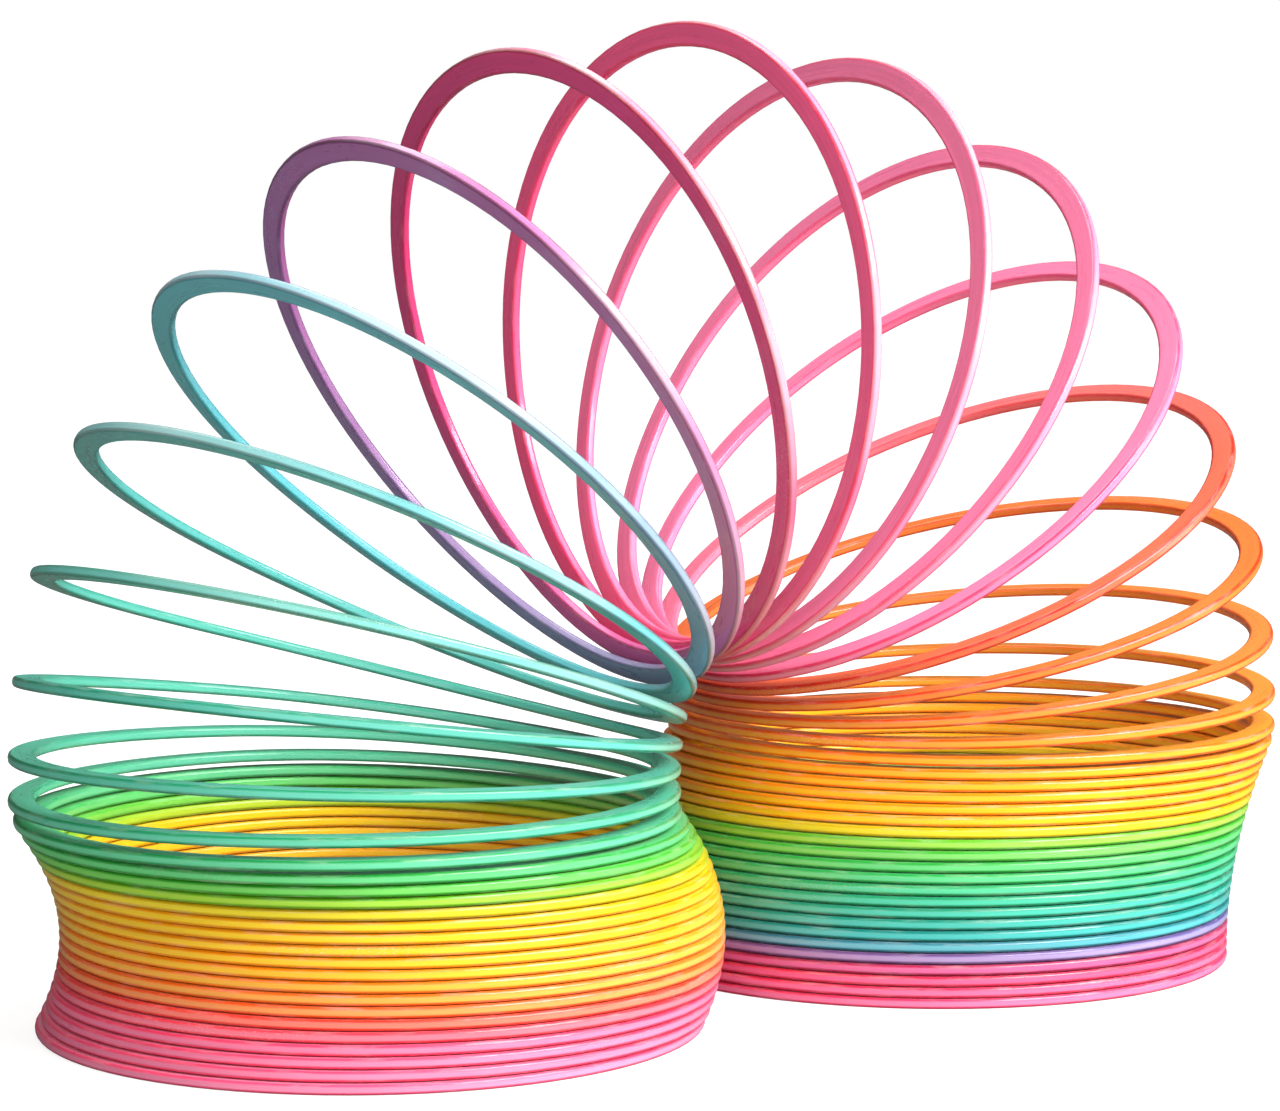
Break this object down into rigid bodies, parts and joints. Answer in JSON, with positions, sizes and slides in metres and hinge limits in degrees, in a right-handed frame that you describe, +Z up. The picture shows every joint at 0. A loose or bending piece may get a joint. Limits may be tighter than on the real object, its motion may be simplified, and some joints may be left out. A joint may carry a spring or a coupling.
{
  "type": "spring coil toy",
  "caption": "Springy rainbow plastic coil wound from a flat strip, standing as an arch of fanned loops between stacked turns.",
  "frame": {"origin": "under the middle of the bounding box, on the surface the toy stands on", "axes": "+X from the left stack to the right stack, +Y to the back, +Z up"},
  "size_m": [0.3274, 0.16, 0.2266],
  "materials": {
    "strip_left_turn_01": "semi-gloss, slightly translucent moulded plastic, coloured in one continuous rainbow",
    "strip_left_turn_02": "semi-gloss, slightly translucent moulded plastic, coloured in one continuous rainbow",
    "strip_left_turn_03": "semi-gloss, slightly translucent moulded plastic, coloured in one continuous rainbow",
    "strip_left_turn_04": "semi-gloss, slightly translucent moulded plastic, coloured in one continuous rainbow",
    "strip_left_turn_05": "semi-gloss, slightly translucent moulded plastic, coloured in one continuous rainbow",
    "strip_left_turn_06": "semi-gloss, slightly translucent moulded plastic, coloured in one continuous rainbow",
    "strip_left_turn_07": "semi-gloss, slightly translucent moulded plastic, coloured in one continuous rainbow",
    "strip_left_turn_08": "semi-gloss, slightly translucent moulded plastic, coloured in one continuous rainbow",
    "strip_left_turn_09": "semi-gloss, slightly translucent moulded plastic, coloured in one continuous rainbow",
    "strip_left_turn_10": "semi-gloss, slightly translucent moulded plastic, coloured in one continuous rainbow",
    "strip_left_turn_11": "semi-gloss, slightly translucent moulded plastic, coloured in one continuous rainbow",
    "strip_left_turn_12": "semi-gloss, slightly translucent moulded plastic, coloured in one continuous rainbow",
    "strip_left_turn_13": "semi-gloss, slightly translucent moulded plastic, coloured in one continuous rainbow",
    "strip_left_turn_14": "semi-gloss, slightly translucent moulded plastic, coloured in one continuous rainbow",
    "strip_left_turn_15": "semi-gloss, slightly translucent moulded plastic, coloured in one continuous rainbow",
    "strip_left_turn_16": "semi-gloss, slightly translucent moulded plastic, coloured in one continuous rainbow",
    "strip_left_turn_17": "semi-gloss, slightly translucent moulded plastic, coloured in one continuous rainbow",
    "strip_left_turn_18": "semi-gloss, slightly translucent moulded plastic, coloured in one continuous rainbow",
    "strip_left_turn_19": "semi-gloss, slightly translucent moulded plastic, coloured in one continuous rainbow",
    "strip_arch_turn_01": "semi-gloss, slightly translucent moulded plastic, coloured in one continuous rainbow",
    "strip_arch_turn_02": "semi-gloss, slightly translucent moulded plastic, coloured in one continuous rainbow",
    "strip_arch_turn_03": "semi-gloss, slightly translucent moulded plastic, coloured in one continuous rainbow",
    "strip_arch_turn_04": "semi-gloss, slightly translucent moulded plastic, coloured in one continuous rainbow",
    "strip_arch_turn_05": "semi-gloss, slightly translucent moulded plastic, coloured in one continuous rainbow",
    "strip_arch_turn_06": "semi-gloss, slightly translucent moulded plastic, coloured in one continuous rainbow",
    "strip_arch_turn_07": "semi-gloss, slightly translucent moulded plastic, coloured in one continuous rainbow",
    "strip_arch_turn_08": "semi-gloss, slightly translucent moulded plastic, coloured in one continuous rainbow",
    "strip_arch_turn_09": "semi-gloss, slightly translucent moulded plastic, coloured in one continuous rainbow",
    "strip_arch_turn_10": "semi-gloss, slightly translucent moulded plastic, coloured in one continuous rainbow",
    "strip_arch_turn_11": "semi-gloss, slightly translucent moulded plastic, coloured in one continuous rainbow",
    "strip_arch_turn_12": "semi-gloss, slightly translucent moulded plastic, coloured in one continuous rainbow",
    "strip_arch_turn_13": "semi-gloss, slightly translucent moulded plastic, coloured in one continuous rainbow",
    "strip_arch_turn_14": "semi-gloss, slightly translucent moulded plastic, coloured in one continuous rainbow",
    "strip_arch_turn_15": "semi-gloss, slightly translucent moulded plastic, coloured in one continuous rainbow",
    "strip_arch_turn_16": "semi-gloss, slightly translucent moulded plastic, coloured in one continuous rainbow",
    "strip_arch_turn_17": "semi-gloss, slightly translucent moulded plastic, coloured in one continuous rainbow",
    "strip_right_turn_01": "semi-gloss, slightly translucent moulded plastic, coloured in one continuous rainbow",
    "strip_right_turn_02": "semi-gloss, slightly translucent moulded plastic, coloured in one continuous rainbow",
    "strip_right_turn_03": "semi-gloss, slightly translucent moulded plastic, coloured in one continuous rainbow",
    "strip_right_turn_04": "semi-gloss, slightly translucent moulded plastic, coloured in one continuous rainbow",
    "strip_right_turn_05": "semi-gloss, slightly translucent moulded plastic, coloured in one continuous rainbow",
    "strip_right_turn_06": "semi-gloss, slightly translucent moulded plastic, coloured in one continuous rainbow",
    "strip_right_turn_07": "semi-gloss, slightly translucent moulded plastic, coloured in one continuous rainbow",
    "strip_right_turn_08": "semi-gloss, slightly translucent moulded plastic, coloured in one continuous rainbow",
    "strip_right_turn_09": "semi-gloss, slightly translucent moulded plastic, coloured in one continuous rainbow",
    "strip_right_turn_10": "semi-gloss, slightly translucent moulded plastic, coloured in one continuous rainbow",
    "strip_right_turn_11": "semi-gloss, slightly translucent moulded plastic, coloured in one continuous rainbow",
    "strip_right_turn_12": "semi-gloss, slightly translucent moulded plastic, coloured in one continuous rainbow",
    "strip_right_turn_13": "semi-gloss, slightly translucent moulded plastic, coloured in one continuous rainbow",
    "strip_right_turn_14": "semi-gloss, slightly translucent moulded plastic, coloured in one continuous rainbow",
    "strip_right_turn_15": "semi-gloss, slightly translucent moulded plastic, coloured in one continuous rainbow",
    "strip_right_turn_16": "semi-gloss, slightly translucent moulded plastic, coloured in one continuous rainbow",
    "strip_right_turn_17": "semi-gloss, slightly translucent moulded plastic, coloured in one continuous rainbow",
    "strip_right_turn_18": "semi-gloss, slightly translucent moulded plastic, coloured in one continuous rainbow",
    "strip_right_turn_19": "semi-gloss, slightly translucent moulded plastic, coloured in one continuous rainbow",
    "strip_right_turn_20": "semi-gloss, slightly translucent moulded plastic, coloured in one continuous rainbow",
    "strip_right_turn_21": "semi-gloss, slightly translucent moulded plastic, coloured in one continuous rainbow"
  },
  "bodies": {
    "left_turn_01": {"left_turn_01": "strip_left_turn_01"},
    "left_turn_02": {"left_turn_02": "strip_left_turn_02"},
    "left_turn_03": {"left_turn_03": "strip_left_turn_03"},
    "left_turn_04": {"left_turn_04": "strip_left_turn_04"},
    "left_turn_05": {"left_turn_05": "strip_left_turn_05"},
    "left_turn_06": {"left_turn_06": "strip_left_turn_06"},
    "left_turn_07": {"left_turn_07": "strip_left_turn_07"},
    "left_turn_08": {"left_turn_08": "strip_left_turn_08"},
    "left_turn_09": {"left_turn_09": "strip_left_turn_09"},
    "left_turn_10": {"left_turn_10": "strip_left_turn_10"},
    "left_turn_11": {"left_turn_11": "strip_left_turn_11"},
    "left_turn_12": {"left_turn_12": "strip_left_turn_12"},
    "left_turn_13": {"left_turn_13": "strip_left_turn_13"},
    "left_turn_14": {"left_turn_14": "strip_left_turn_14"},
    "left_turn_15": {"left_turn_15": "strip_left_turn_15"},
    "left_turn_16": {"left_turn_16": "strip_left_turn_16"},
    "left_turn_17": {"left_turn_17": "strip_left_turn_17"},
    "left_turn_18": {"left_turn_18": "strip_left_turn_18"},
    "left_turn_19": {"left_turn_19": "strip_left_turn_19"},
    "arch_turn_01": {"arch_turn_01": "strip_arch_turn_01"},
    "arch_turn_02": {"arch_turn_02": "strip_arch_turn_02"},
    "arch_turn_03": {"arch_turn_03": "strip_arch_turn_03"},
    "arch_turn_04": {"arch_turn_04": "strip_arch_turn_04"},
    "arch_turn_05": {"arch_turn_05": "strip_arch_turn_05"},
    "arch_turn_06": {"arch_turn_06": "strip_arch_turn_06"},
    "arch_turn_07": {"arch_turn_07": "strip_arch_turn_07"},
    "arch_turn_08": {"arch_turn_08": "strip_arch_turn_08"},
    "arch_turn_09": {"arch_turn_09": "strip_arch_turn_09"},
    "arch_turn_10": {"arch_turn_10": "strip_arch_turn_10"},
    "arch_turn_11": {"arch_turn_11": "strip_arch_turn_11"},
    "arch_turn_12": {"arch_turn_12": "strip_arch_turn_12"},
    "arch_turn_13": {"arch_turn_13": "strip_arch_turn_13"},
    "arch_turn_14": {"arch_turn_14": "strip_arch_turn_14"},
    "arch_turn_15": {"arch_turn_15": "strip_arch_turn_15"},
    "arch_turn_16": {"arch_turn_16": "strip_arch_turn_16"},
    "arch_turn_17": {"arch_turn_17": "strip_arch_turn_17"},
    "right_turn_01": {"right_turn_01": "strip_right_turn_01"},
    "right_turn_02": {"right_turn_02": "strip_right_turn_02"},
    "right_turn_03": {"right_turn_03": "strip_right_turn_03"},
    "right_turn_04": {"right_turn_04": "strip_right_turn_04"},
    "right_turn_05": {"right_turn_05": "strip_right_turn_05"},
    "right_turn_06": {"right_turn_06": "strip_right_turn_06"},
    "right_turn_07": {"right_turn_07": "strip_right_turn_07"},
    "right_turn_08": {"right_turn_08": "strip_right_turn_08"},
    "right_turn_09": {"right_turn_09": "strip_right_turn_09"},
    "right_turn_10": {"right_turn_10": "strip_right_turn_10"},
    "right_turn_11": {"right_turn_11": "strip_right_turn_11"},
    "right_turn_12": {"right_turn_12": "strip_right_turn_12"},
    "right_turn_13": {"right_turn_13": "strip_right_turn_13"},
    "right_turn_14": {"right_turn_14": "strip_right_turn_14"},
    "right_turn_15": {"right_turn_15": "strip_right_turn_15"},
    "right_turn_16": {"right_turn_16": "strip_right_turn_16"},
    "right_turn_17": {"right_turn_17": "strip_right_turn_17"},
    "right_turn_18": {"right_turn_18": "strip_right_turn_18"},
    "right_turn_19": {"right_turn_19": "strip_right_turn_19"},
    "right_turn_20": {"right_turn_20": "strip_right_turn_20"},
    "right_turn_21": {"right_turn_21": "strip_right_turn_21"}
  },
  "joints": [
    {"name": "left_turn_02_stretch", "type": "slide", "parent": "left_turn_01", "child": "left_turn_02", "axis": [0, 0, 1], "range_m": [0, 0.008], "stiffness_N_per_m": 6},
    {"name": "left_turn_03_stretch", "type": "slide", "parent": "left_turn_02", "child": "left_turn_03", "axis": [0, 0, 1], "range_m": [0, 0.008], "stiffness_N_per_m": 6},
    {"name": "left_turn_04_stretch", "type": "slide", "parent": "left_turn_03", "child": "left_turn_04", "axis": [0, 0, 1], "range_m": [0, 0.008], "stiffness_N_per_m": 6},
    {"name": "left_turn_05_stretch", "type": "slide", "parent": "left_turn_04", "child": "left_turn_05", "axis": [0, 0, 1], "range_m": [0, 0.008], "stiffness_N_per_m": 6},
    {"name": "left_turn_06_stretch", "type": "slide", "parent": "left_turn_05", "child": "left_turn_06", "axis": [0, 0, 1], "range_m": [0, 0.008], "stiffness_N_per_m": 6},
    {"name": "left_turn_07_stretch", "type": "slide", "parent": "left_turn_06", "child": "left_turn_07", "axis": [0, 0, 1], "range_m": [0, 0.008], "stiffness_N_per_m": 6},
    {"name": "left_turn_08_stretch", "type": "slide", "parent": "left_turn_07", "child": "left_turn_08", "axis": [0, 0, 1], "range_m": [0, 0.008], "stiffness_N_per_m": 6},
    {"name": "left_turn_09_stretch", "type": "slide", "parent": "left_turn_08", "child": "left_turn_09", "axis": [0, 0, 1], "range_m": [0, 0.008], "stiffness_N_per_m": 6},
    {"name": "left_turn_10_stretch", "type": "slide", "parent": "left_turn_09", "child": "left_turn_10", "axis": [0, 0, 1], "range_m": [0, 0.008], "stiffness_N_per_m": 6},
    {"name": "left_turn_11_stretch", "type": "slide", "parent": "left_turn_10", "child": "left_turn_11", "axis": [0, 0, 1], "range_m": [0, 0.008], "stiffness_N_per_m": 6},
    {"name": "left_turn_12_stretch", "type": "slide", "parent": "left_turn_11", "child": "left_turn_12", "axis": [0, 0, 1], "range_m": [0, 0.008], "stiffness_N_per_m": 6},
    {"name": "left_turn_13_stretch", "type": "slide", "parent": "left_turn_12", "child": "left_turn_13", "axis": [0, 0, 1], "range_m": [0, 0.008], "stiffness_N_per_m": 6},
    {"name": "left_turn_14_stretch", "type": "slide", "parent": "left_turn_13", "child": "left_turn_14", "axis": [0, 0, 1], "range_m": [0, 0.008], "stiffness_N_per_m": 6},
    {"name": "left_turn_15_stretch", "type": "slide", "parent": "left_turn_14", "child": "left_turn_15", "axis": [0, 0, 1], "range_m": [0, 0.008], "stiffness_N_per_m": 6},
    {"name": "left_turn_16_stretch", "type": "slide", "parent": "left_turn_15", "child": "left_turn_16", "axis": [0, 0, 1], "range_m": [0, 0.008], "stiffness_N_per_m": 6},
    {"name": "left_turn_17_stretch", "type": "slide", "parent": "left_turn_16", "child": "left_turn_17", "axis": [0, 0, 1], "range_m": [0, 0.008], "stiffness_N_per_m": 6},
    {"name": "left_turn_18_stretch", "type": "slide", "parent": "left_turn_17", "child": "left_turn_18", "axis": [0, 0, 1], "range_m": [0, 0.008], "stiffness_N_per_m": 6},
    {"name": "left_turn_19_stretch", "type": "slide", "parent": "left_turn_18", "child": "left_turn_19", "axis": [0, 0, 1], "range_m": [0, 0.008], "stiffness_N_per_m": 6},
    {"name": "arch_turn_01_stretch", "type": "slide", "parent": "left_turn_19", "child": "arch_turn_01", "axis": [0, 0, 1], "range_m": [0, 0.008], "stiffness_N_per_m": 6},
    {"name": "arch_turn_02_fold", "type": "hinge", "parent": "arch_turn_01", "child": "arch_turn_02", "pos_m": [-0.01655, -0.0049, 0.05312], "axis": [0, -1, 0], "range_deg": [0, 2.35], "stiffness_Nm_per_rad": 0.03, "springref_deg": 2.35},
    {"name": "arch_turn_03_fold", "type": "hinge", "parent": "arch_turn_02", "child": "arch_turn_03", "pos_m": [-0.0164, -0.00462, 0.05755], "axis": [0, -1, 0], "range_deg": [0, 5.2], "stiffness_Nm_per_rad": 0.03, "springref_deg": 5.2},
    {"name": "arch_turn_04_fold", "type": "hinge", "parent": "arch_turn_03", "child": "arch_turn_04", "pos_m": [-0.01588, -0.00418, 0.06209], "axis": [0, -1, 0], "range_deg": [0, 8.15], "stiffness_Nm_per_rad": 0.03, "springref_deg": 8.15},
    {"name": "arch_turn_05_fold", "type": "hinge", "parent": "arch_turn_04", "child": "arch_turn_05", "pos_m": [-0.01474, -0.0036, 0.06664], "axis": [0, -1, 0], "range_deg": [0, 10.95], "stiffness_Nm_per_rad": 0.03, "springref_deg": 10.94},
    {"name": "arch_turn_06_fold", "type": "hinge", "parent": "arch_turn_05", "child": "arch_turn_06", "pos_m": [-0.01277, -0.00291, 0.07096], "axis": [0, -1, 0], "range_deg": [0, 13.41], "stiffness_Nm_per_rad": 0.03, "springref_deg": 13.4},
    {"name": "arch_turn_07_fold", "type": "hinge", "parent": "arch_turn_06", "child": "arch_turn_07", "pos_m": [-0.00989, -0.00214, 0.07473], "axis": [0, -1, 0], "range_deg": [0, 15.39], "stiffness_Nm_per_rad": 0.03, "springref_deg": 15.38},
    {"name": "arch_turn_08_fold", "type": "hinge", "parent": "arch_turn_07", "child": "arch_turn_08", "pos_m": [-0.00622, -0.00131, 0.07756], "axis": [0, -1, 0], "range_deg": [0, 16.77], "stiffness_Nm_per_rad": 0.03, "springref_deg": 16.76},
    {"name": "arch_turn_09_fold", "type": "hinge", "parent": "arch_turn_08", "child": "arch_turn_09", "pos_m": [-0.00208, -0.00044, 0.07918], "axis": [0, -1, 0], "range_deg": [0, 17.48], "stiffness_Nm_per_rad": 0.03, "springref_deg": 17.48},
    {"name": "arch_turn_10_fold", "type": "hinge", "parent": "arch_turn_09", "child": "arch_turn_10", "pos_m": [0.00212, 0.00044, 0.07948], "axis": [0, -1, 0], "range_deg": [0, 17.48], "stiffness_Nm_per_rad": 0.03, "springref_deg": 17.48},
    {"name": "arch_turn_11_fold", "type": "hinge", "parent": "arch_turn_10", "child": "arch_turn_11", "pos_m": [0.00617, 0.00131, 0.07851], "axis": [0, -1, 0], "range_deg": [0, 16.77], "stiffness_Nm_per_rad": 0.03, "springref_deg": 16.76},
    {"name": "arch_turn_12_fold", "type": "hinge", "parent": "arch_turn_11", "child": "arch_turn_12", "pos_m": [0.00971, 0.00214, 0.07644], "axis": [0, -1, 0], "range_deg": [0, 15.39], "stiffness_Nm_per_rad": 0.03, "springref_deg": 15.38},
    {"name": "arch_turn_13_fold", "type": "hinge", "parent": "arch_turn_12", "child": "arch_turn_13", "pos_m": [0.0125, 0.00291, 0.07354], "axis": [0, -1, 0], "range_deg": [0, 13.41], "stiffness_Nm_per_rad": 0.03, "springref_deg": 13.4},
    {"name": "arch_turn_14_fold", "type": "hinge", "parent": "arch_turn_13", "child": "arch_turn_14", "pos_m": [0.01447, 0.0036, 0.07015], "axis": [0, -1, 0], "range_deg": [0, 10.95], "stiffness_Nm_per_rad": 0.03, "springref_deg": 10.94},
    {"name": "arch_turn_15_fold", "type": "hinge", "parent": "arch_turn_14", "child": "arch_turn_15", "pos_m": [0.01567, 0.00418, 0.06657], "axis": [0, -1, 0], "range_deg": [0, 8.15], "stiffness_Nm_per_rad": 0.03, "springref_deg": 8.15},
    {"name": "arch_turn_16_fold", "type": "hinge", "parent": "arch_turn_15", "child": "arch_turn_16", "pos_m": [0.01629, 0.00462, 0.06298], "axis": [0, -1, 0], "range_deg": [0, 5.2], "stiffness_Nm_per_rad": 0.03, "springref_deg": 5.2},
    {"name": "arch_turn_17_fold", "type": "hinge", "parent": "arch_turn_16", "child": "arch_turn_17", "pos_m": [0.01652, 0.0049, 0.0595], "axis": [0, -1, 0], "range_deg": [0, 2.35], "stiffness_Nm_per_rad": 0.03, "springref_deg": 2.35},
    {"name": "right_turn_01_stretch", "type": "slide", "parent": "arch_turn_17", "child": "right_turn_01", "axis": [0, 0, -1], "range_m": [0, 0.00724], "stiffness_N_per_m": 6},
    {"name": "right_turn_02_stretch", "type": "slide", "parent": "right_turn_01", "child": "right_turn_02", "axis": [0, 0, -1], "range_m": [0, 0.00724], "stiffness_N_per_m": 6},
    {"name": "right_turn_03_stretch", "type": "slide", "parent": "right_turn_02", "child": "right_turn_03", "axis": [0, 0, -1], "range_m": [0, 0.00724], "stiffness_N_per_m": 6},
    {"name": "right_turn_04_stretch", "type": "slide", "parent": "right_turn_03", "child": "right_turn_04", "axis": [0, 0, -1], "range_m": [0, 0.00724], "stiffness_N_per_m": 6},
    {"name": "right_turn_05_stretch", "type": "slide", "parent": "right_turn_04", "child": "right_turn_05", "axis": [0, 0, -1], "range_m": [0, 0.00724], "stiffness_N_per_m": 6},
    {"name": "right_turn_06_stretch", "type": "slide", "parent": "right_turn_05", "child": "right_turn_06", "axis": [0, 0, -1], "range_m": [0, 0.00724], "stiffness_N_per_m": 6},
    {"name": "right_turn_07_stretch", "type": "slide", "parent": "right_turn_06", "child": "right_turn_07", "axis": [0, 0, -1], "range_m": [0, 0.00724], "stiffness_N_per_m": 6},
    {"name": "right_turn_08_stretch", "type": "slide", "parent": "right_turn_07", "child": "right_turn_08", "axis": [0, 0, -1], "range_m": [0, 0.00724], "stiffness_N_per_m": 6},
    {"name": "right_turn_09_stretch", "type": "slide", "parent": "right_turn_08", "child": "right_turn_09", "axis": [0, 0, -1], "range_m": [0, 0.00724], "stiffness_N_per_m": 6},
    {"name": "right_turn_10_stretch", "type": "slide", "parent": "right_turn_09", "child": "right_turn_10", "axis": [0, 0, -1], "range_m": [0, 0.00724], "stiffness_N_per_m": 6},
    {"name": "right_turn_11_stretch", "type": "slide", "parent": "right_turn_10", "child": "right_turn_11", "axis": [0, 0, -1], "range_m": [0, 0.00724], "stiffness_N_per_m": 6},
    {"name": "right_turn_12_stretch", "type": "slide", "parent": "right_turn_11", "child": "right_turn_12", "axis": [0, 0, -1], "range_m": [0, 0.00724], "stiffness_N_per_m": 6},
    {"name": "right_turn_13_stretch", "type": "slide", "parent": "right_turn_12", "child": "right_turn_13", "axis": [0, 0, -1], "range_m": [0, 0.00724], "stiffness_N_per_m": 6},
    {"name": "right_turn_14_stretch", "type": "slide", "parent": "right_turn_13", "child": "right_turn_14", "axis": [0, 0, -1], "range_m": [0, 0.00724], "stiffness_N_per_m": 6},
    {"name": "right_turn_15_stretch", "type": "slide", "parent": "right_turn_14", "child": "right_turn_15", "axis": [0, 0, -1], "range_m": [0, 0.00724], "stiffness_N_per_m": 6},
    {"name": "right_turn_16_stretch", "type": "slide", "parent": "right_turn_15", "child": "right_turn_16", "axis": [0, 0, -1], "range_m": [0, 0.00724], "stiffness_N_per_m": 6},
    {"name": "right_turn_17_stretch", "type": "slide", "parent": "right_turn_16", "child": "right_turn_17", "axis": [0, 0, -1], "range_m": [0, 0.00724], "stiffness_N_per_m": 6},
    {"name": "right_turn_18_stretch", "type": "slide", "parent": "right_turn_17", "child": "right_turn_18", "axis": [0, 0, -1], "range_m": [0, 0.00724], "stiffness_N_per_m": 6},
    {"name": "right_turn_19_stretch", "type": "slide", "parent": "right_turn_18", "child": "right_turn_19", "axis": [0, 0, -1], "range_m": [0, 0.00724], "stiffness_N_per_m": 6},
    {"name": "right_turn_20_stretch", "type": "slide", "parent": "right_turn_19", "child": "right_turn_20", "axis": [0, 0, -1], "range_m": [0, 0.00724], "stiffness_N_per_m": 6},
    {"name": "right_turn_21_stretch", "type": "slide", "parent": "right_turn_20", "child": "right_turn_21", "axis": [0, 0, -1], "range_m": [0, 0.00724], "stiffness_N_per_m": 6}
  ],
  "couplings": [
    {"joint": "left_turn_03_stretch", "follows": "left_turn_02_stretch", "ratio": 1},
    {"joint": "left_turn_04_stretch", "follows": "left_turn_02_stretch", "ratio": 1},
    {"joint": "left_turn_05_stretch", "follows": "left_turn_02_stretch", "ratio": 1},
    {"joint": "left_turn_06_stretch", "follows": "left_turn_02_stretch", "ratio": 1},
    {"joint": "left_turn_07_stretch", "follows": "left_turn_02_stretch", "ratio": 1},
    {"joint": "left_turn_08_stretch", "follows": "left_turn_02_stretch", "ratio": 1},
    {"joint": "left_turn_09_stretch", "follows": "left_turn_02_stretch", "ratio": 1},
    {"joint": "left_turn_10_stretch", "follows": "left_turn_02_stretch", "ratio": 1},
    {"joint": "left_turn_11_stretch", "follows": "left_turn_02_stretch", "ratio": 1},
    {"joint": "left_turn_12_stretch", "follows": "left_turn_02_stretch", "ratio": 1},
    {"joint": "left_turn_13_stretch", "follows": "left_turn_02_stretch", "ratio": 1},
    {"joint": "left_turn_14_stretch", "follows": "left_turn_02_stretch", "ratio": 1},
    {"joint": "left_turn_15_stretch", "follows": "left_turn_02_stretch", "ratio": 1},
    {"joint": "left_turn_16_stretch", "follows": "left_turn_02_stretch", "ratio": 1},
    {"joint": "left_turn_17_stretch", "follows": "left_turn_02_stretch", "ratio": 1},
    {"joint": "left_turn_18_stretch", "follows": "left_turn_02_stretch", "ratio": 1},
    {"joint": "left_turn_19_stretch", "follows": "left_turn_02_stretch", "ratio": 1},
    {"joint": "arch_turn_01_stretch", "follows": "left_turn_02_stretch", "ratio": 1},
    {"joint": "arch_turn_02_fold", "follows": "arch_turn_09_fold", "ratio": 0.13442},
    {"joint": "arch_turn_03_fold", "follows": "arch_turn_09_fold", "ratio": 0.2976},
    {"joint": "arch_turn_04_fold", "follows": "arch_turn_09_fold", "ratio": 0.46627},
    {"joint": "arch_turn_05_fold", "follows": "arch_turn_09_fold", "ratio": 0.62625},
    {"joint": "arch_turn_06_fold", "follows": "arch_turn_09_fold", "ratio": 0.76703},
    {"joint": "arch_turn_07_fold", "follows": "arch_turn_09_fold", "ratio": 0.8802},
    {"joint": "arch_turn_08_fold", "follows": "arch_turn_09_fold", "ratio": 0.95932},
    {"joint": "arch_turn_10_fold", "follows": "arch_turn_09_fold", "ratio": 1},
    {"joint": "arch_turn_11_fold", "follows": "arch_turn_09_fold", "ratio": 0.95932},
    {"joint": "arch_turn_12_fold", "follows": "arch_turn_09_fold", "ratio": 0.8802},
    {"joint": "arch_turn_13_fold", "follows": "arch_turn_09_fold", "ratio": 0.76703},
    {"joint": "arch_turn_14_fold", "follows": "arch_turn_09_fold", "ratio": 0.62625},
    {"joint": "arch_turn_15_fold", "follows": "arch_turn_09_fold", "ratio": 0.46627},
    {"joint": "arch_turn_16_fold", "follows": "arch_turn_09_fold", "ratio": 0.2976},
    {"joint": "arch_turn_17_fold", "follows": "arch_turn_09_fold", "ratio": 0.13442},
    {"joint": "right_turn_01_stretch", "follows": "left_turn_02_stretch", "ratio": 0.90476},
    {"joint": "right_turn_02_stretch", "follows": "left_turn_02_stretch", "ratio": 0.90476},
    {"joint": "right_turn_03_stretch", "follows": "left_turn_02_stretch", "ratio": 0.90476},
    {"joint": "right_turn_04_stretch", "follows": "left_turn_02_stretch", "ratio": 0.90476},
    {"joint": "right_turn_05_stretch", "follows": "left_turn_02_stretch", "ratio": 0.90476},
    {"joint": "right_turn_06_stretch", "follows": "left_turn_02_stretch", "ratio": 0.90476},
    {"joint": "right_turn_07_stretch", "follows": "left_turn_02_stretch", "ratio": 0.90476},
    {"joint": "right_turn_08_stretch", "follows": "left_turn_02_stretch", "ratio": 0.90476},
    {"joint": "right_turn_09_stretch", "follows": "left_turn_02_stretch", "ratio": 0.90476},
    {"joint": "right_turn_10_stretch", "follows": "left_turn_02_stretch", "ratio": 0.90476},
    {"joint": "right_turn_11_stretch", "follows": "left_turn_02_stretch", "ratio": 0.90476},
    {"joint": "right_turn_12_stretch", "follows": "left_turn_02_stretch", "ratio": 0.90476},
    {"joint": "right_turn_13_stretch", "follows": "left_turn_02_stretch", "ratio": 0.90476},
    {"joint": "right_turn_14_stretch", "follows": "left_turn_02_stretch", "ratio": 0.90476},
    {"joint": "right_turn_15_stretch", "follows": "left_turn_02_stretch", "ratio": 0.90476},
    {"joint": "right_turn_16_stretch", "follows": "left_turn_02_stretch", "ratio": 0.90476},
    {"joint": "right_turn_17_stretch", "follows": "left_turn_02_stretch", "ratio": 0.90476},
    {"joint": "right_turn_18_stretch", "follows": "left_turn_02_stretch", "ratio": 0.90476},
    {"joint": "right_turn_19_stretch", "follows": "left_turn_02_stretch", "ratio": 0.90476},
    {"joint": "right_turn_20_stretch", "follows": "left_turn_02_stretch", "ratio": 0.90476},
    {"joint": "right_turn_21_stretch", "follows": "left_turn_02_stretch", "ratio": 0.90476}
  ]
}
